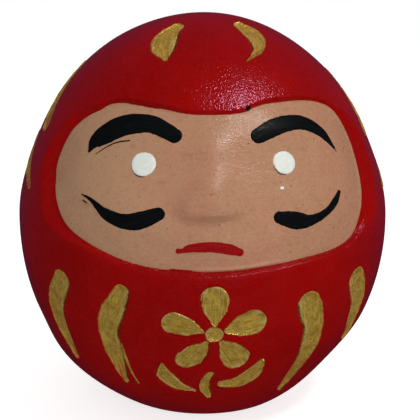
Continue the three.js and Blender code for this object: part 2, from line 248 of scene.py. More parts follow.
class Stroke:
    """A brush mark: the line that its middle follows and the half-width at each point of it."""

    STEP = 0.3  # millimetres between samples

    def __init__(self, path, half_widths, seed=0, ragged=0.0):
        rough, _ = spline(path, 40)
        reach = np.diff(rough, axis=0) * [ring_radius(rough[:, 1].mean()) * ARC, HALF_HEIGHT * ARC]
        self.length = np.linalg.norm(reach, axis=1).sum()
        self.steps = max(12, int(self.length / self.STEP))
        centre, slope = spline(path, self.steps)
        self.lon, self.lat = centre.T
        self.forward = np.arctan2(slope[:, 1] * HALF_HEIGHT, slope[:, 0] * ring_radius(self.lat))
        self.half_width = spline(half_widths, self.steps)[0][:, 0]
        self.seed = seed
        self.ragged = ragged

    def outline(self):
        """Middle index, direction and radius for each point round the edge, anticlockwise."""
        last = self.steps - 1
        cap = np.linspace(-np.pi / 2, np.pi / 2, 13)[1:-1]
        middle = np.concatenate([np.arange(last + 1), np.full(len(cap), last),
                                 np.arange(last, -1, -1), np.zeros(len(cap), int)])
        turn = np.concatenate([np.full(last + 1, -np.pi / 2), cap,
                               np.full(last + 1, np.pi / 2), cap + np.pi])
        angle = self.forward[middle] + turn
        radius = self.half_width[middle]
        if self.ragged:
            along = np.linspace(0, 2 * np.pi, len(middle), endpoint=False)
            source = np.random.default_rng(self.seed)
            for turns in (5, 9, 14, 23, 37, 61):
                wave = np.sin(along * turns + source.uniform(0, 2 * np.pi))
                radius = radius + wave * self.ragged / turns ** 0.35
        return middle, angle, np.maximum(radius, 0.05)

    def nearest(self, lon, lat):
        """Distance from the edge (negative inside) and side (-1 right of the path to 1 left of it)."""
        dx = (lon[:, None] - self.lon) * ring_radius(lat)[:, None] * ARC
        dy = (lat[:, None] - self.lat) * HALF_HEIGHT * ARC
        far = np.hypot(dx, dy) - self.half_width
        best = far.argmin(axis=1)
        rows = np.arange(len(lon))
        dx, dy, forward = dx[rows, best], dy[rows, best], self.forward[best]
        side = (np.cos(forward) * dy - np.sin(forward) * dx) / self.half_width[best]
        return far[rows, best], np.clip(side, -1, 1)


def on_blossom(points):
    return [place_after(*map(float, BLOSSOM_PLACE), x, y) for x, y in points]


def gold_strokes():
    strokes = {name: Stroke(*mark) for name, mark in GOLD_STROKES.items()}
    for name, (path, half_widths) in SPRIG.items():
        strokes[name] = Stroke(on_blossom(path), half_widths)
    for i in range(PETALS):
        angle = math.pi / 2 - 2 * math.pi * i / PETALS
        path = [(reach * math.cos(angle), reach * math.sin(angle)) for reach in PETAL_REACHES]
        strokes[f"motif_petal_{i + 1}"] = Stroke(on_blossom(path), PETAL_HALF_WIDTHS)
    dab = [(-0.25, 0), (0.25, 0)]
    strokes["motif_centre"] = Stroke(on_blossom(dab), [BLOSSOM_CENTRE_RADIUS] * 2)
    for i, stroke in enumerate(strokes.values()):
        stroke.seed, stroke.ragged = i, GOLD_RAGGED
    return strokes


GOLD = gold_strokes()
GROOVE_DEEP = 0.8  # along the side nearer the middle of the front
GROOVE_SHALLOW = 0.35  # along the other side


def near_stroke(stroke, lon, lat, margin):
    """Indices of the places within so many millimetres of a stroke's own box."""
    margin += stroke.half_width.max()
    up = margin / HALF_HEIGHT / ARC
    across = margin / ring_radius(np.abs(stroke.lat).max() + up) / ARC
    near = (lon > stroke.lon.min() - across) & (lon < stroke.lon.max() + across)
    near &= (lat > stroke.lat.min() - up) & (lat < stroke.lat.max() + up)
    return np.flatnonzero(near)


def inner_side(stroke):
    """1 if the left of the stroke's path is the side towards the middle of the front, else -1."""
    return math.copysign(1, stroke.lon.mean()) * math.copysign(1, stroke.lat[-1] - stroke.lat[0])


def groove_inset(lon, lat):
    """How deep the gold strokes' grooves are: a crisp wall on one side and a soft one on the other."""
    inset = np.zeros(len(lon))
    for name, stroke in GOLD.items():
        near = near_stroke(stroke, lon, lat, 2)
        if not len(near):
            continue
        gap, side = stroke.nearest(lon[near], lat[near])
        if not name.startswith("motif"):
            side = side * inner_side(stroke)
        soft = 0.5 - 0.5 * side
        floor = GROOVE_DEEP + (GROOVE_SHALLOW - GROOVE_DEEP) * soft
        top, foot = 0.5 + 0.1 * soft, 0.1 + 1.5 * soft
        reach = np.clip((top - gap) / (top + foot), 0, 1)
        depth = floor * reach * reach * (3 - 2 * reach)
        inset[near] = np.maximum(inset[near], depth)
    return inset


# ---- The face and the rim round it ----

EDGE_STEPS = 720
EDGE_RAGGED = 0.0015625  # unevenness of the skin's edge, as a share of its distance from the middle
EDGE_DIP = 0.05  # how much lower the skin's outermost ring lies
SLOPE_WIDTH = 4.6  # of the red slope beside the face
HOOD_SLOPE = 0.6  # the same under the hood
LEDGE_SLOPE = 0.9  # the same under the chin
CORNER_NARROWING = 2.2  # how much narrower the slope is at the upper left
NOSE_LATITUDE = 13
CUSHION = 0.6  # how far the middle of the face swells beyond its edge
FAR = 60.0  # stands for any distance from the face that is too long to matter


def face_edge():
    closed = FACE_EDGE[-1:] + FACE_EDGE + FACE_EDGE[:2]
    points, _ = spline(closed, 8 * EDGE_STEPS)
    whole = len(closed) - 1
    share = np.linspace(1, whole - 1, EDGE_STEPS, endpoint=False) / whole
    return points[(share * (len(points) - 1)).astype(int)]


EDGE = face_edge()


def face_distance(lon, lat):
    """Millimetres outside the face's edge; negative inside it."""
    distance = np.full(len(lon), FAR)
    near = np.flatnonzero((np.abs(lon) < 76) & (lat > -22) & (lat < 62))
    x, y = lon[near], lat[near]
    reach = ring_radius(y) * ARC
    best = np.full(len(near), 1e9)
    inside = np.zeros(len(near), bool)
    after = np.roll(EDGE, -1, axis=0)
    for (ax, ay), (bx, by) in zip(EDGE, after):
        best = np.minimum(best, ((x - ax) * reach) ** 2 + ((y - ay) * HALF_HEIGHT * ARC) ** 2)
        crosses = (ay > y) != (by > y)
        inside ^= crosses & (x < ax + (y - ay) * (bx - ax) / (by - ay if by != ay else 1e-9))
    distance[near] = np.sqrt(best) * np.where(inside, -1, 1)
    return distance


def edge_depth(lat):
    """Inset of the skin along the face's edge: shallowest under the hood."""
    return 1.65 - 0.55 * smoothstep(lat, 22, 36) - 0.1 * smoothstep(-lat, -6, 1)


def rim_inset(lon, lat):
    """The red shell round the face: a thin hood over the brows, sloped sides and a crisp lower ledge."""
    gap = face_distance(lon, lat)
    top = smoothstep(lat, 30, 37) * smoothstep(lon, -52, -38)
    bottom = smoothstep(-lat, -7, 0)
    side = (1 - top) * (1 - bottom)
    corner = smoothstep(lat, 24, 32) * smoothstep(-lon, 28, 38) * (1 - top)
    width = SLOPE_WIDTH - (SLOPE_WIDTH - HOOD_SLOPE) * top
    width -= (SLOPE_WIDTH - LEDGE_SLOPE) * bottom + CORNER_NARROWING * corner
    share = np.clip((gap + 0.2) / (width + 0.2), 0, 1)
    soft = share * share * (3 - 2 * share)
    rise = side * (0.65 * share ** 1.7 + 0.35 * soft) + (1 - side) * soft
    inset = edge_depth(lat) * (1 - rise)
    roll = smoothstep(gap, 0.2, 1.6 + 0.5 * width) * (1 - smoothstep(gap, 3, 16))
    inset -= roll * (0.25 - 0.2 * top)
    inset += (1 - smoothstep(gap, -1.6, -0.5)) * (FACE_FLOOR - edge_depth(lat))
    return inset


def mound(x, y, middle, size):
    """A soft bump of height 1."""
    return np.exp(-((x - middle[0]) / size[0]) ** 2 - ((y - middle[1]) / size[1]) ** 2)


def face_inset(lon, lat):
    """The skin: a shallow cushion with a soft ball of a nose, hollows at the eyes and full cheeks.

    x and y are millimetres from the middle line of the front and from NOSE_LATITUDE.
    """
    gap = -face_distance(lon, lat)
    x = lon * ring_radius(lat) * ARC
    y = (lat - NOSE_LATITUDE) * HALF_HEIGHT * ARC
    inset = edge_depth(lat) - CUSHION * smoothstep(gap, 0, 12)
    underside = smoothstep(y - 0.012 * (x + 1) ** 2 - 0.03 * x, -4.6, -2.2)
    ball = 2.35 * mound(x, y, (-1, 0.5), (6, 6))
    wings = (0.5 - 0.04 * x) * mound(np.abs(x), y, (6, -0.6), (2.7, 3))
    bridge = 0.95 * np.exp(-(x / 4.4) ** 2) * smoothstep(y, -2, 6) * (1 - smoothstep(y, 12, 23))
    inset -= (ball + wings) * underside + bridge
    for side in (-1, 1):
        eye_hollow = 0.5 * mound(x, y, (side * 16, 11), (6.5, 6))
        brow = 0.35 * mound(x, lat, (side * 21, 31.5), (12, 4))
        cheek = 0.5 * mound(x, y, (side * 25, -3), (9, 7))
        inset += eye_hollow
        inset -= brow + cheek
    lip = 0.4 * mound(x, lat, (0, 3), (9, 3.2))
    inset -= lip
    side_bead = smoothstep(lon, 6, 20) * smoothstep(lat, 4, 10)
    low_bead = smoothstep(-lat, -6, -1) * smoothstep(lon, -8, 2) * (1 - smoothstep(lon, 12, 22))
    inset -= (0.16 * side_bead + 0.4 * low_bead) * np.exp(-((gap - 0.6) / 0.4) ** 2)
    return inset + waves(body_points(lon, lat, 0.0), 9, 0.05, seed=8)


def shell_inset(lon, lat):
    lon, lat = np.ravel(lon), np.ravel(lat)
    inset = rim_inset(lon, lat) + groove_inset(lon, lat)
    return inset + waves(body_points(lon, lat, 0.0), 26, 0.10, seed=3)


# ---- Meshes ----

BRUSH = "brush"  # where a point is on its stroke: millimetres along, across, and the share of the way
INWARD = "inward"  # 1 on the side of a stroke towards the middle of the front, -1 on the other side


def make_piece(name, points, faces, material, nodes=(), sharp=35, laid=None):
    mesh = bpy.data.meshes.new(name)
    mesh.from_pydata((np.asarray(points) * MM).tolist(), [], faces)
    if laid is not None:
        layer = mesh.attributes.new(BRUSH, "FLOAT_VECTOR", "POINT")
        layer.data.foreach_set("vector", laid[:, :3].astype(np.float32).ravel())
        layer = mesh.attributes.new(INWARD, "FLOAT", "POINT")
        layer.data.foreach_set("value", laid[:, 3].astype(np.float32))
    bm = bmesh.new()
    bm.from_mesh(mesh)
    bmesh.ops.remove_doubles(bm, verts=bm.verts, dist=1e-7)
    bmesh.ops.recalc_face_normals(bm, faces=bm.faces)
    bm.to_mesh(mesh)
    bm.free()
    mesh.polygons.foreach_set("use_smooth", [True] * len(mesh.polygons))
    mesh.set_sharp_from_angle(angle=math.radians(sharp))
    mesh.materials.append(material)
    piece = bpy.data.objects.new(name, mesh)
    bpy.context.scene.collection.objects.link(piece)
    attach(piece, "root")
    if nodes:
        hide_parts(*nodes)
    return piece


def lune(first_lon, last_lon, columns, rows, bottom_lat):
    """A grid over part of the egg from the rim up to the pole: places, faces and its edge loop."""
    lats = np.linspace(bottom_lat, 90, rows + 1)
    lons = np.linspace(first_lon, last_lon, columns + 1)
    lat, lon = np.meshgrid(lats, lons, indexing="ij")
    width = columns + 1
    starts = [row * width + column for row in range(rows) for column in range(columns)]
    faces = [(a, a + 1, a + width + 1, a + width) for a in starts]
    left = [row * width for row in range(rows)]
    right = [row * width + columns for row in range(rows)]
    loop = left + [rows * width] + right[::-1] + list(range(columns - 1, 0, -1))
    return np.stack([lon.ravel(), lat.ravel()], axis=-1), faces, loop


def edge_distance(places):
    """Millimetres to the nearest crisp edge: the face's, or a gold stroke's groove."""
    lon, lat = places.T
    gap = face_distance(lon, lat)
    distance = np.minimum(np.abs(gap - 0.4), np.abs(gap - SLOPE_WIDTH) + 0.8)
    for stroke in GOLD.values():
        near = near_stroke(stroke, lon, lat, 4)
        if len(near):
            gap, _ = stroke.nearest(lon[near], lat[near])
            distance[near] = np.minimum(distance[near], np.abs(gap - 0.2))
    return distance


def refined(places, faces, reaches):
    """A grid whose cells are halved once for each reach, where they are that near a crisp edge."""
    bm = bmesh.new()
    verts = [bm.verts.new((x, y, 0)) for x, y in places]
    for face in faces:
        bm.faces.new([verts[i] for i in face])
    for reach in reaches:
        edges = [edge for edge in bm.edges if not edge.is_boundary]
        ends = np.array([[edge.verts[0].co, edge.verts[1].co] for edge in edges])
        close = edge_distance(ends.mean(axis=1)[:, :2]) < reach
        picked = [edge for edge, wanted in zip(edges, close) if wanted]
        bmesh.ops.subdivide_edges(bm, edges=picked, cuts=1, use_grid_fill=True)
        uneven = [face for face in bm.faces if len(face.verts) > 4]
        bmesh.ops.triangulate(bm, faces=uneven)
    bm.verts.index_update()
    places = np.array([vert.co[:2] for vert in bm.verts])
    faces = [tuple(vert.index for vert in face.verts) for face in bm.faces]
    bm.free()
    return places, faces


COARSE = 2  # fine cells for each cell of the inside surface


def make_shell(name, first_lon, last_lon, material):
    bottom = math.degrees(math.asin((RIM_Z - CENTRE_Z) / HALF_HEIGHT))
    rows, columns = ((80, 88))
    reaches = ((2.2, 1.0))

    def outside(places):
        lon, lat = places.T
        near_rim = np.clip(1 - (lat - bottom) / 1.3, 0, 1)
        inset = shell_inset(lon, lat)
        inset[lat > 89.9] = 0
        return inset + RIM_ROUNDING * (1 - np.sqrt(1 - near_rim ** 2))

    def inside(places):
        behind_face = 1 - smoothstep(face_distance(*places.T), -1, 5)
        return WALL + (FACE_FLOOR + BACKING - WALL) * behind_face

    outer, outer_faces, fine = lune(first_lon, last_lon, columns * COARSE, rows * COARSE, bottom)
    outer, outer_faces = refined(outer, outer_faces, reaches)
    inner, inner_faces, coarse = lune(first_lon, last_lon, columns, rows, bottom)
    points = np.vstack([body_points(*outer.T, outside(outer)), body_points(*inner.T, inside(inner))])
    points[:, 2] = np.maximum(points[:, 2], RIM_Z)
    shift = len(outer)
    coarse = [i + shift for i in coarse]
    faces = outer_faces + [tuple(i + shift for i in reversed(face)) for face in inner_faces]
    for i in range(len(coarse)):
        edge = [fine[(COARSE * i + k) % len(fine)] for k in range(COARSE + 1)]
        faces.append((*edge, coarse[(i + 1) % len(coarse)], coarse[i]))
    return make_piece(name, points, faces, material, [name])


def make_face_coat(material):
    rings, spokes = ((90, EDGE_STEPS // 2))
    edge = EDGE[:: EDGE_STEPS // spokes]
    along = np.linspace(0, 2 * np.pi, spokes, endpoint=False)
    wobble = sum(np.sin(along * k + k * k) / k ** 0.5 for k in (17, 29, 43, 71))
    share = np.linspace(0, 1, rings + 1)[1:] ** 0.85
    centre = np.array(FACE_CENTRE)
    reach = edge - centre
    reach = reach * (1 + EDGE_RAGGED * wobble)[:, None]
    places = centre + share[:, None, None] * reach
    lon = np.append(places[..., 0].ravel(), centre[0])
    lat = np.append(places[..., 1].ravel(), centre[1])
    top_inset = face_inset(lon, lat)
    edge_ring = slice((rings - 1) * spokes, rings * spokes)
    top_inset[edge_ring] += EDGE_DIP
    top = body_points(lon, lat, top_inset - SKIN_LIFT)
    bottom = body_points(lon, lat, np.full(len(lon), FACE_COAT_BOTTOM))
    faces = []
    for ring in range(rings - 1):
        for i in range(spokes):
            j = (i + 1) % spokes
            a, b = ring * spokes, (ring + 1) * spokes
            faces.append((a + i, b + i, b + j, a + j))
    tip = rings * spokes
    faces += [(tip, i, (i + 1) % spokes) for i in range(spokes)]
    shift = len(top)
    faces += [tuple(i + shift for i in reversed(face)) for face in faces]
    last = (rings - 1) * spokes
    for i in range(spokes):
        j = (i + 1) % spokes
        faces.append((last + i, last + i + shift, last + j + shift, last + j))
    points = np.vstack([top, bottom])
    return make_piece("face_coat", points, faces, material, ["face_coat"])


PAINT_RINGS = np.array([1.0, 0.965, 0.91, 0.85, 0.76, 0.62, 0.44, 0.24, 0.0])
SINK = 0.12  # how far a film of paint reaches into the surface under it
FACE_PAINT_THICKNESS = 0.16
EYE_THICKNESS = 0.42
GOLD_THICKNESS = 0.22
# Gold paint is heaped up just inside its edge, and again in a bead on the side towards the middle of
# the front, or all round on the blossom. Heaps and beads are shares of the film's thickness.
EDGE_HEAP = {"height": 0.9, "at": 0.87, "width": 0.09}
BEAD = {"at": 0.75, "width": 0.16}  # on the scale of INWARD
STROKE_BEAD = 1.1
MOTIF_BEAD = 0.5
MOTIF_INWARD = 0.8  # INWARD at the edge of a part of the blossom
MOTIF_SPENT = 0.6  # its paint runs out only this far


def paint_film(stroke, ground, thickness, streak=0.0, bead=0.0):
    """A closed film of paint on the surface whose inset `ground` gives: points, faces, attributes."""
    middle, angle, radius = stroke.outline()
    turn = angle - stroke.forward[middle]
    reach = PAINT_RINGS[:, None] * radius
    lon, lat = place_after(stroke.lon[middle], stroke.lat[middle],
                           reach * np.cos(angle), reach * np.sin(angle))
    share = np.repeat(PAINT_RINGS[:, None], len(middle), axis=1)
    along = middle / (stroke.steps - 1)
    far = along * stroke.length + reach * np.cos(turn)
    across = reach * np.sin(turn)
    one_sided = bead > MOTIF_BEAD
    if one_sided:
        inward = share * (np.sin(turn) * inner_side(stroke))
    else:
        inward = share * (MOTIF_INWARD if bead else 0.0)
    body = np.sqrt(np.clip(1 - share ** 5, 0, 1))
    if streak:
        source = np.random.default_rng(100 + stroke.seed)
        ripple = [np.sin(across * k + source.uniform(0, 6) + far * 0.25) for k in (4, 7, 11)]
        body = body * (1 + streak * sum(ripple) / 3)
    if bead:
        from_heap = (share - EDGE_HEAP["at"]) / EDGE_HEAP["width"]
        body = body + EDGE_HEAP["height"] * np.exp(-from_heap ** 2)
        lumps = 0.75 + 0.25 * np.sin(far * 1.9 + stroke.seed) * np.sin(far * 0.7)
        from_bead = (inward - BEAD["at"]) / BEAD["width"]
        body = body + bead * lumps * np.exp(-from_bead ** 2)
    under = ground(lon.ravel(), lat.ravel())
    top = body_points(lon.ravel(), lat.ravel(), under - thickness * body.ravel())
    bottom = body_points(lon.ravel(), lat.ravel(), under + SINK)
    count = len(middle)
    faces = []
    for ring in range(len(PAINT_RINGS) - 1):
        for i in range(count):
            j = (i + 1) % count
            a, b = ring * count, (ring + 1) * count
            faces.append((a + i, a + j, b + j, b + i))
    shift = len(top)
    faces += [tuple(i + shift for i in reversed(face)) for face in faces]
    faces += [(i, i + shift, (i + 1) % count + shift, (i + 1) % count) for i in range(count)]
    spent = np.broadcast_to(along if one_sided else MOTIF_SPENT * along, far.shape)
    brush = np.stack([far, across, spent], axis=-1).reshape(-1, 3)
    laid = np.column_stack([brush, inward.ravel()])
    return np.vstack([top, bottom]), faces, np.vstack([laid, laid])


def joined(films):
    points, faces, laid = [], [], []
    shift = 0
    for film in films:
        points.append(film[0])
        faces += [tuple(i + shift for i in face) for face in film[1]]
        laid.append(film[2])
        shift += len(film[0])
    return np.vstack(points), faces, np.vstack(laid)


# ---- Materials ----


class Paint:
    """A Principled material whose inputs are fed by short chains of procedural nodes."""

    def __init__(self, name, **constants):
        self.material = bpy.data.materials.new(name)
        self.material.use_nodes = True
        self.tree = self.material.node_tree
        self.shader = self.tree.nodes["Principled BSDF"]
        for socket, value in constants.items():
            self.shader.inputs[socket.replace("_", " ")].default_value = value
        self.place = self.tree.nodes.new("ShaderNodeTexCoord").outputs["Object"]
        self.brush = self.tree.nodes.new("ShaderNodeAttribute")
        self.brush.attribute_name = BRUSH
        self.inward = self.tree.nodes.new("ShaderNodeAttribute")
        self.inward.attribute_name = INWARD

    def feed(self, node, **inputs):
        for socket, value in inputs.items():
            target = node.inputs[int(socket[1:]) if socket[0] == "_" else socket.replace("_", " ")]
            if isinstance(value, bpy.types.NodeSocket):
                self.tree.links.new(value, target)
            else:
                target.default_value = value
        return node

    def noise(self, size_mm, detail=3.0, roughness=0.55, stretch=None):
        node = self.tree.nodes.new("ShaderNodeTexNoise")
        place = self.place
        if stretch:
            mapping = self.tree.nodes.new("ShaderNodeMapping")
            mapping.inputs["Scale"].default_value = stretch
            self.tree.links.new(place, mapping.inputs["Vector"])
            place = mapping.outputs["Vector"]
        self.feed(node, Vector=place, Scale=1 / (size_mm * MM), Detail=detail, Roughness=roughness)
        return node.outputs["Fac"]

    def bristles(self, width_mm, length_mm, detail=3.0):
        """Noise drawn out along the brush stroke."""
        mapping = self.tree.nodes.new("ShaderNodeMapping")
        mapping.inputs["Scale"].default_value = (1 / length_mm, 1 / width_mm, 0)
        self.tree.links.new(self.brush.outputs["Vector"], mapping.inputs["Vector"])
        node = self.tree.nodes.new("ShaderNodeTexNoise")
        self.feed(node, Vector=mapping.outputs["Vector"], Scale=1.0, Detail=detail, Roughness=0.6)
        return node.outputs["Fac"]

    def dryness(self, start, end):
        """0 until this share of the stroke, and 1 after that one."""
        split = self.tree.nodes.new("ShaderNodeSeparateXYZ")
        self.tree.links.new(self.brush.outputs["Vector"], split.inputs[0])
        return self.steps(split.outputs["Z"], start, end)

    def axis(self, name):
        """The place along one axis of the doll, in metres."""
        split = self.tree.nodes.new("ShaderNodeSeparateXYZ")
        self.tree.links.new(self.place, split.inputs[0])
        return split.outputs[name]

    def cells(self, size_mm):
        node = self.tree.nodes.new("ShaderNodeTexVoronoi")
        self.feed(node, Vector=self.place, Scale=1 / (size_mm * MM), Randomness=1.0)
        return node.outputs["Distance"]

    def steps(self, value, low, high, to_low=0.0, to_high=1.0):
        node = self.tree.nodes.new("ShaderNodeMapRange")
        node.interpolation_type = "SMOOTHSTEP"
        self.feed(node, _0=value, _1=low, _2=high, _3=to_low, _4=to_high)
        return node.outputs[0]

    def math(self, operation, first, second=0.0):
        node = self.tree.nodes.new("ShaderNodeMath")
        node.operation = operation
        self.feed(node, _0=first, _1=second)
        return node.outputs[0]

    def mix(self, share, first, second):
        node = self.tree.nodes.new("ShaderNodeMix")
        node.data_type = "RGBA"
        self.feed(node, _0=share)
        for index, value in ((6, first), (7, second)):
            if isinstance(value, bpy.types.NodeSocket):
                self.tree.links.new(value, node.inputs[index])
            else:
                node.inputs[index].default_value = (*value, 1)
        return node.outputs[2]

    def bump(self, height, depth_mm, strength=1.0, after=None):
        node = self.tree.nodes.new("ShaderNodeBump")
        self.feed(node, Height=height, Distance=depth_mm * MM, Strength=strength)
        if after is not None:
            self.tree.links.new(after, node.inputs["Normal"])
        return node.outputs["Normal"]

    def set(self, **sockets):
        self.feed(self.shader, **sockets)
        return self.material


def red_lacquer():
    paint = Paint("red_lacquer", Specular_IOR_Level=0.46, Specular_Tint=(1, 0.5, 0.78, 1))
    cloud = paint.noise(20, detail=2)
    patches = paint.noise(6, detail=3)
    colour = paint.mix(paint.steps(cloud, 0.35, 0.7), (0.26, 0.0012, 0.0005), (0.30, 0.0018, 0.0008))
    colour = paint.mix(paint.steps(patches, 0.5, 0.8, 0, 0.3), colour, (0.34, 0.0035, 0.0016))
    mottle = paint.steps(paint.noise(0.8, detail=3), 0.35, 0.7, 0, 0.35)
    colour = paint.mix(mottle, colour, (0.36, 0.0045, 0.0025))
    # Pits: the dark in them is painted shade; the pits themselves are only a shallow bump.
    specks = paint.steps(paint.cells(2.6), 0.03, 0.07, 1, 0)
    sparse = paint.steps(paint.noise(7, detail=1), 0.6, 0.66)
    pits = paint.math("MULTIPLY", specks, sparse)
    colour = paint.mix(paint.math("MULTIPLY", pits, 0.6), colour, (0.06, 0.001, 0.001))
    brushed = paint.bump(paint.noise(2.5, detail=3), 0.05, 0.5)
    peel = paint.bump(paint.noise(1.0, detail=2), 0.09, 0.8, after=brushed)
    grain = paint.bump(paint.noise(0.55, detail=1), 0.16, 1.0, after=peel)
    pitted = paint.bump(paint.math("MULTIPLY", pits, -1.0), 0.08, 0.6, after=grain)
    rough = paint.steps(paint.noise(4, detail=3), 0.3, 0.75, 0.16, 0.24)
    return paint.set(Base_Color=colour, Roughness=rough, Normal=pitted)


def face_paint():
    paint = Paint("face_paint", Specular_IOR_Level=0.42)
    cloud = paint.noise(16, detail=3)
    patches = paint.noise(5, detail=4)
    colour = paint.mix(paint.steps(cloud, 0.35, 0.68), (0.42, 0.205, 0.112), (0.45, 0.200, 0.118))
    colour = paint.mix(paint.steps(patches, 0.5, 0.75, 0, 0.5), colour, (0.46, 0.255, 0.150))
    # Lighter and more olive towards the left: an olive tint, and a painted lift of the light on that side.
    colour = paint.mix(paint.steps(paint.axis("X"), -0.034, 0.0, 0.8, 0), colour, (0.46, 0.272, 0.150))
    blush = paint.steps(paint.noise(8, detail=3), 0.55, 0.75, 0, 0.3)
    colour = paint.mix(blush, colour, (0.40, 0.155, 0.080))
    mottle = paint.steps(paint.noise(0.7, detail=3), 0.35, 0.7, 0, 0.5)
    colour = paint.mix(mottle, colour, (0.51, 0.275, 0.163))
    stain = paint.steps(paint.noise(1.1, detail=3, stretch=(0.5, 1, 1)), 0.55, 0.75, 0, 0.45)
    colour = paint.mix(stain, colour, (0.31, 0.140, 0.080))
    # Pinholes: the dark in them is painted shade; the holes themselves are only a shallow bump.
    specks = paint.steps(paint.cells(1.8), 0.06, 0.14, 1, 0)
    sparse = paint.steps(paint.noise(5, detail=1), 0.54, 0.60)
    holes = paint.math("MULTIPLY", specks, sparse)
    colour = paint.mix(paint.math("MULTIPLY", holes, 0.85), colour, (0.13, 0.035, 0.02))
    dust = paint.steps(paint.cells(1.5), 0.05, 0.10, 1, 0)
    rare = paint.steps(paint.noise(4, detail=1), 0.60, 0.66)
    colour = paint.mix(paint.math("MULTIPLY", dust, rare), colour, (0.62, 0.42, 0.30))
    dragged = paint.bump(paint.noise(0.9, detail=3, stretch=(0.35, 1, 1)), 0.16, 0.8)
    relief = paint.bump(paint.noise(1.3, detail=4), 0.08, 0.5, after=dragged)
    grain = paint.bump(paint.noise(0.4, detail=2), 0.08, 0.9, after=relief)
    pitted = paint.bump(paint.math("MULTIPLY", holes, -1.0), 0.1, 0.8, after=grain)
    rough = paint.steps(paint.noise(3, detail=3), 0.3, 0.75, 0.22, 0.40)
    return paint.set(Base_Color=colour, Roughness=rough, Normal=pitted)


def gold_paint():
    """Bronze paint dragged by a stiff brush: worn thin outwards, heaped up inwards, with painted glints on
    the heaps and a dark painted shadow line along the inner edge.
    """
    paint = Paint("gold_paint")
    inward = paint.inward.outputs["Fac"]
    flakes = paint.noise(0.6, detail=4, roughness=0.6)
    streaks = paint.bristles(0.4, 4, detail=4)
    tufts = paint.bristles(0.8, 7, detail=3)
    wander = paint.math("MULTIPLY", paint.math("SUBTRACT", paint.noise(1.1, detail=3), 0.5), 0.7)
    across = paint.math("ADD", inward, wander)
    dry = paint.math("MULTIPLY", paint.dryness(0.6, 1.0), 0.22)
    worn = paint.steps(paint.math("ADD", tufts, dry), 0.66, 0.76)
    thin = paint.steps(across, -1.0, -0.66, 1, 0)
    worn = paint.math("MAXIMUM", worn, thin)
    colour = paint.mix(paint.steps(streaks, 0.36, 0.62), (0.60, 0.370, 0.050), (0.98, 0.650, 0.108))
    cloud = paint.steps(paint.noise(2.4, detail=3), 0.45, 0.68, 0, 0.5)
    colour = paint.mix(cloud, colour, (0.48, 0.195, 0.036))
    colour = paint.mix(paint.steps(flakes, 0.54, 0.68, 0, 0.55), colour, (1.0, 0.80, 0.28))
    colour = paint.mix(paint.steps(flakes, 0.34, 0.46, 0.45, 0), colour, (0.34, 0.185, 0.028))
    # Painted highlight: a brighter band along the raised bead on the inner side stands in for its glint.
    ridge_glint = paint.math("MULTIPLY", paint.steps(across, 0.45, 0.7), paint.steps(tufts, 0.42, 0.58))
    colour = paint.mix(paint.math("MULTIPLY", ridge_glint, 0.6), colour, (1.0, 0.76, 0.27))
    # Painted highlight: bright flecks near the start of each stroke, towards its inner side, stand in for
    # glints on the thick paint there.
    near_start = paint.math("SUBTRACT", 1.0, paint.dryness(0.03, 0.16))
    start_glint = paint.math("MULTIPLY", paint.steps(across, 0.1, 0.5), paint.steps(flakes, 0.42, 0.56))
    start_glint = paint.math("MULTIPLY", start_glint, near_start)
    colour = paint.mix(paint.math("MULTIPLY", start_glint, 0.6), colour, (1.0, 0.74, 0.24))
    colour = paint.mix(paint.math("MULTIPLY", worn, 0.8), colour, (0.27, 0.030, 0.008))
    # Painted shade: a dark line along the inner edge stands in for the shadow of the groove's wall.
    colour = paint.mix(paint.steps(inward, 0.86, 0.96, 0, 0.8), colour, (0.12, 0.035, 0.010))
    metal = paint.steps(worn, 0.0, 1.0, 0.55, 0.05)
    rough = paint.steps(flakes, 0.3, 0.7, 0.36, 0.2)
    lumps = paint.bump(paint.noise(1.4, detail=3), 0.55, 0.9)
    relief = paint.bump(streaks, 0.09, 0.6, after=lumps)
    grit = paint.bump(flakes, 0.14, 1.0, after=relief)
    return paint.set(Base_Color=colour, Metallic=metal, Roughness=rough, Normal=grit)


def brush_black():
    paint = Paint("brush_black", Specular_IOR_Level=0.1)
    drag = paint.bristles(0.35, 6)
    colour = paint.mix(paint.steps(drag, 0.35, 0.7), (0.0028, 0.0036, 0.0038), (0.0055, 0.0066, 0.0072))
    relief = paint.bump(drag, 0.05, 0.5)
    rough = paint.steps(paint.noise(1.5), 0.3, 0.7, 0.32, 0.5)
    return paint.set(Base_Color=colour, Roughness=rough, Normal=relief)


def eye_white():
    paint = Paint("eye_white", Specular_IOR_Level=0.35)
    cloud = paint.noise(1.2, detail=4)
    colour = paint.mix(paint.steps(cloud, 0.35, 0.7), (0.72, 0.75, 0.67), (0.80, 0.81, 0.76))
    relief = paint.bump(cloud, 0.08, 0.5)
    rough = paint.steps(cloud, 0.3, 0.7, 0.38, 0.52)
    return paint.set(Base_Color=colour, Roughness=rough, Normal=relief)


def mouth_red():
    paint = Paint("mouth_red", Specular_IOR_Level=0.18)
    drag = paint.bristles(0.4, 5)
    colour = paint.mix(paint.steps(drag, 0.35, 0.7), (0.24, 0.0012, 0.002), (0.33, 0.0028, 0.004))
    relief = paint.bump(drag, 0.06, 0.5)
    rough = paint.steps(paint.noise(1.5), 0.3, 0.7, 0.26, 0.4)
    return paint.set(Base_Color=colour, Roughness=rough, Normal=relief)


def plain_stuff(name, dark, light, size_mm, roughness, depth_mm):
    """A dull material such as felt, card or clay: mottled, with a grain of the size given."""
    paint = Paint(name, Specular_IOR_Level=0.1)
    grain = paint.noise(size_mm, detail=5, roughness=0.7)
    colour = paint.mix(paint.steps(paint.noise(9 * size_mm), 0.35, 0.7), dark, light)
    colour = paint.mix(paint.steps(grain, 0.45, 0.75, 0, 0.4), colour, dark)
    rough = paint.steps(grain, 0.3, 0.7, roughness - 0.08, roughness)
    return paint.set(Base_Color=colour, Roughness=rough, Normal=paint.bump(grain, depth_mm, 0.8))


# ---- The pieces ----


def skin_surface(lon, lat):
    return face_inset(lon, lat) - SKIN_LIFT


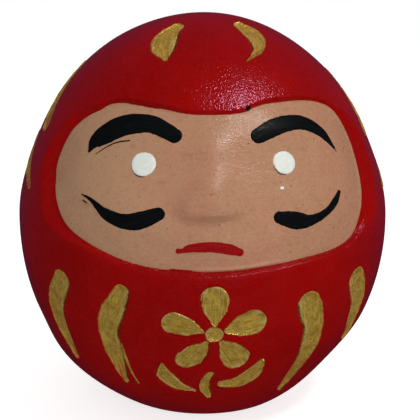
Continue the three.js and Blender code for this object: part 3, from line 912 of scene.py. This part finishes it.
# Smaller touches of the same brush beside the main marks: places, half-widths, and what they lie on.
TOUCHES = {
    "brow_left": [
        ([(-38.6, 24.4), (-34.8, 26.5), (-31, 27.9), (-27, 28.5)], [0.08, 0.13, 0.17, 0.15], skin_surface),
        ([(-25.1, 22), (-24.1, 20.6), (-22.4, 19.7), (-20.7, 19.6)], [0.05, 0.1, 0.1, 0.05], skin_surface),
    ],
    "brow_right": [
        ([(42.6, 26.2), (43.9, 25.1), (45, 23.9)], [0.3, 0.2, 0.08], skin_surface),
        ([(18.8, 22.3), (19.4, 21), (20.6, 20), (22.2, 19.7)], [0.05, 0.1, 0.1, 0.05], skin_surface),
        ([(12.8, 37.5), (13.3, 37.5)], [0.6, 0.5], shell_inset),
    ],
    "whisker_left": [
        ([(-39.9, 12.5), (-38.9, 12.2), (-38.1, 12)], [0.12, 0.2, 0.1], skin_surface),
    ],
    "eye_right": [
        ([(19.9, 16.5), (20.3, 16.5)], [0.4, 0.4], skin_surface),
    ],
    "robe_stroke_inner_left": [
        ([(-28.8, -24.5), (-28.6, -28), (-27.4, -33.5), (-25.6, -39.5)],
         [0.15, 0.4, 0.3, 0.12], shell_inset),
    ],
}


def make_mark(name, stroke, material, thickness, streak, ground=skin_surface, bead=0.0):
    films = [paint_film(stroke, ground, thickness, streak=streak, bead=bead)]
    for i, (path, half_widths, ground) in enumerate(TOUCHES.get(name, [])):
        touch = Stroke(path, half_widths, seed=80 + i, ragged=0.02)
        films.append(paint_film(touch, ground, 0.6 * thickness))
    points, faces, laid = joined(films)
    make_piece(name, points, faces, material, [name], laid=laid)


def make_marks():
    black, red, white, gold = brush_black(), mouth_red(), eye_white(), gold_paint()
    for i, (name, mark) in enumerate(FACE_MARKS.items()):
        stroke = Stroke(*mark, seed=40 + i, ragged=0.06)
        material, slot = (red, "mouth_red") if name == "mouth" else (black, "brush_black")
        make_mark(name, stroke, material, FACE_PAINT_THICKNESS, streak=0.25)
    for i, (name, (place, radius)) in enumerate(EYES.items()):
        dab = [place_after(*place, -0.15, 0.0), place_after(*place, 0.15, 0.0)]
        stroke = Stroke(dab, [radius, radius], seed=60 + i, ragged=0.03)
        make_mark(name, stroke, white, EYE_THICKNESS, streak=0.08)
    for name, stroke in GOLD.items():
        bead = MOTIF_BEAD if name.startswith("motif") else STROKE_BEAD
        make_mark(name, stroke, gold, GOLD_THICKNESS, streak=0.2,
                  ground=shell_inset, bead=bead)


def make_pad(material):
    """A felt disc with a soft rounded edge, a little uneven underneath."""
    (low, high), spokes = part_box("base_pad"), 96
    radius, height = (high[0] - low[0]) / 2 / MM, (high[2] - low[2]) / MM
    profile = [(0.0, 0), (0.5, 0), (0.9, 0), (0.975, 0.06), (1.0, 0.3), (1.0, 0.7), (0.975, 0.94),
               (0.9, 1), (0.5, 1), (0.0, 1)]
    source = np.random.default_rng(5)
    angle = np.linspace(0, 2 * np.pi, spokes, endpoint=False)
    ragged = 1 - 0.006 * source.random(spokes)
    rings = [np.stack([radius * share * ragged * np.cos(angle), radius * share * ragged * np.sin(angle),
                       np.full(spokes, height * level)], axis=-1) for share, level in profile]
    faces = []
    for ring in range(len(profile) - 1):
        for i in range(spokes):
            j = (i + 1) % spokes
            a, b = ring * spokes, (ring + 1) * spokes
            faces.append((a + i, a + j, b + j, b + i))
    make_piece("base_pad", np.vstack(rings), faces, material, ["base_pad"])


def finish_inner_nodes():
    """The pieces inside keep their CAD shape and take their materials."""
    pulp = plain_stuff("paper_strip", (0.30, 0.25, 0.18), (0.46, 0.40, 0.30), 0.5, 0.9, 0.15)
    clay = plain_stuff("clay", (0.22, 0.14, 0.09), (0.36, 0.25, 0.17), 1.2, 0.88, 0.4)
    for name, material in (("seam_band", pulp), ("weight_fillet", pulp), ("base_weight", clay)):
        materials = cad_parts[name].data.materials
        materials.clear()
        materials.append(material)


lacquer = red_lacquer()
make_shell("front_shell", -90, 90, lacquer)
make_shell("rear_shell", 90, 270, lacquer)
make_face_coat(face_paint())
make_marks()
make_pad(plain_stuff("felt", (0.03, 0.03, 0.032), (0.07, 0.068, 0.066), 0.3, 0.95, 0.2))
finish_inner_nodes()

# ---- Floor, light and camera ----

BODY_CENTRE = Vector((0, 0, CENTRE_Z * MM))


def direction(azimuth, elevation):
    a, e = math.radians(azimuth), math.radians(elevation)
    return Vector((math.sin(a) * math.cos(e), -math.cos(a) * math.cos(e), math.sin(e)))


def make_floor():
    mesh = bpy.data.meshes.new("floor")
    half = 3.0
    mesh.from_pydata([(-half, -half, 0), (half, -half, 0), (half, half, 0), (-half, half, 0)],
                     [], [(0, 1, 2, 3)])
    floor = bpy.data.objects.new("floor", mesh)
    bpy.context.scene.collection.objects.link(floor)
    paint = Paint("floor", Roughness=0.9, Specular_IOR_Level=0.1)
    paint.shader.inputs["Emission Color"].default_value = (1, 1, 1, 1)
    paint.shader.inputs["Emission Strength"].default_value = 0.72
    shade = paint.steps(paint.noise(60, detail=2), 0.3, 0.7)
    colour = paint.mix(shade, (0.86, 0.86, 0.86), (0.88, 0.88, 0.88))
    mesh.materials.append(paint.set(Base_Color=colour))
    floor.visible_glossy = False
    floor.visible_diffuse = False


def make_light(name, kind, azimuth, elevation, strength, glossy=True, **settings):
    data = bpy.data.lights.new(name, kind)
    data.energy = strength
    distance = settings.pop("distance", 1.0)
    for setting, value in settings.items():
        setattr(data, setting, value)
    lamp = bpy.data.objects.new(name, data)
    lamp.location = BODY_CENTRE + direction(azimuth, elevation) * distance
    lamp.rotation_euler = (-direction(azimuth, elevation)).to_track_quat("-Z", "Y").to_euler()
    lamp.visible_glossy = glossy
    bpy.context.scene.collection.objects.link(lamp)


ROOM_LIGHT = 0.42  # strength of the even light
WALL_GLOSS = (-0.2, 0.7, 0.007, 0.10)  # along Y, what gloss sees: dark in front, lighter behind
LOW_SHADE = (-0.6, 0.1, 0.25, 1.0)  # along Z, how far that is dimmed towards the floor
GLOSS_TINT = (1, 0.26, 0.60, 1)


def make_world():
    """White to the camera; to everything else an evenly lit room that is dark where gloss sees it."""
    world = bpy.data.worlds.new("studio")
    bpy.context.scene.world = world
    world.use_nodes = True
    world.cycles.sampling_method = "NONE"
    tree = world.node_tree
    tree.nodes.clear()
    link = tree.links.new
    path = tree.nodes.new("ShaderNodeLightPath")
    place = tree.nodes.new("ShaderNodeTexCoord")
    split = tree.nodes.new("ShaderNodeSeparateXYZ")
    walls, low = tree.nodes.new("ShaderNodeMapRange"), tree.nodes.new("ShaderNodeMapRange")
    for ramp, values in ((walls, WALL_GLOSS), (low, LOW_SHADE)):
        ramp.interpolation_type = "SMOOTHSTEP"
        for socket, value in zip(("From Min", "From Max", "To Min", "To Max"), values):
            ramp.inputs[socket].default_value = value
    room = tree.nodes.new("ShaderNodeMath")
    room.operation = "MULTIPLY"
    gloss = tree.nodes.new("ShaderNodeMix")
    seen = tree.nodes.new("ShaderNodeMix")
    gloss.inputs["A"].default_value = ROOM_LIGHT
    tint = tree.nodes.new("ShaderNodeMix")
    tint.data_type = "RGBA"
    tint.inputs[6].default_value = (1, 1, 1, 1)
    tint.inputs[7].default_value = GLOSS_TINT
    seen.inputs["B"].default_value = 1.0
    shade = tree.nodes.new("ShaderNodeBackground")
    output = tree.nodes.new("ShaderNodeOutputWorld")
    link(place.outputs["Generated"], split.inputs[0])
    link(split.outputs["Y"], walls.inputs["Value"])
    link(path.outputs["Is Glossy Ray"], gloss.inputs["Factor"])
    link(path.outputs["Is Glossy Ray"], tint.inputs[0])
    link(tint.outputs[2], shade.inputs["Color"])
    link(split.outputs["Z"], low.inputs["Value"])
    link(walls.outputs["Result"], room.inputs[0])
    link(low.outputs["Result"], room.inputs[1])
    link(room.outputs[0], gloss.inputs["B"])
    link(path.outputs["Is Camera Ray"], seen.inputs["Factor"])
    link(gloss.outputs["Result"], seen.inputs["A"])
    link(seen.outputs["Result"], shade.inputs["Strength"])
    link(shade.outputs[0], output.inputs["Surface"])


# The doll's front, turned slightly to the right and seen from a little above.
CAMERA_AZIMUTH, CAMERA_ELEVATION = -3.3, 12.0
CAMERA_DISTANCE = 0.28
CAMERA_LENS = 83.2
AIM_RIGHT, AIM_UP = 0.00216, 0.00143  # metres from the middle of the body, across the view


def make_camera():
    back = direction(CAMERA_AZIMUTH, CAMERA_ELEVATION)
    turn = math.radians(CAMERA_AZIMUTH)
    right = Vector((math.cos(turn), math.sin(turn), 0))
    up = back.cross(right)
    aim = BODY_CENTRE + right * AIM_RIGHT + up * AIM_UP
    data = bpy.data.cameras.new("camera")
    data.sensor_width = 36
    data.lens = CAMERA_LENS
    data.clip_start = 0.01
    camera = bpy.data.objects.new("camera", data)
    camera.location = BODY_CENTRE + back * CAMERA_DISTANCE
    camera.rotation_euler = (aim - camera.location).to_track_quat("-Z", "Y").to_euler()
    bpy.context.scene.collection.objects.link(camera)
    bpy.context.scene.camera = camera


make_floor()
make_world()
make_light("lamp", "AREA", 42, 54, 1.05, distance=0.6, shape="DISK", size=0.11)
make_light("soft", "SUN", 18, 3, 0.95, glossy=False, angle=math.radians(45))
make_light("fill", "AREA", 4, 0, 0.6, glossy=False, distance=0.6, shape="DISK", size=0.09)
make_camera()
bpy.context.scene.view_settings.view_transform = "Standard"
